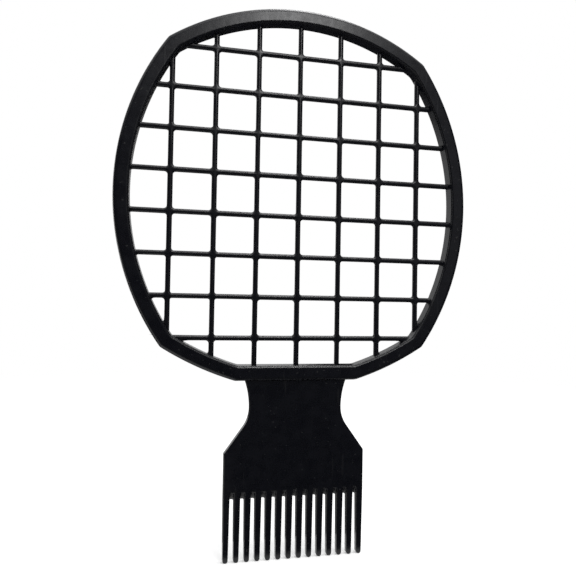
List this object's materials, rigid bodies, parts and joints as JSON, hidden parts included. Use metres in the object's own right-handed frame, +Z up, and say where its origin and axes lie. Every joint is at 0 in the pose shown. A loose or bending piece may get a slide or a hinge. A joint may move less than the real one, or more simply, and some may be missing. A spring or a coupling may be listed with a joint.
{
  "type": "twist comb",
  "caption": "Flat hair comb: a rounded rim holds a net of open cells that twists short hair into curls, and a waisted plate below it carries a row of pick teeth.",
  "frame": {"origin": "under the middle of the comb, at the level of the tips of its teeth", "axes": "+Z up from the teeth to the top of the rim, +X to the right seen from the face, -Y out of the face"},
  "size_m": [0.1504, 0.0052, 0.2279],
  "materials": {
    "black_plastic": "satin, as moulded"
  },
  "bodies": {
    "root": {"rim": "black_plastic", "grid": "black_plastic", "pick_plate": "black_plastic", "tooth_01": "black_plastic", "tooth_02": "black_plastic", "tooth_03": "black_plastic", "tooth_04": "black_plastic", "tooth_05": "black_plastic", "tooth_06": "black_plastic", "tooth_07": "black_plastic", "tooth_08": "black_plastic", "tooth_09": "black_plastic", "tooth_10": "black_plastic", "tooth_11": "black_plastic", "tooth_12": "black_plastic", "tooth_13": "black_plastic", "tooth_14": "black_plastic"}
  },
  "joints": []
}
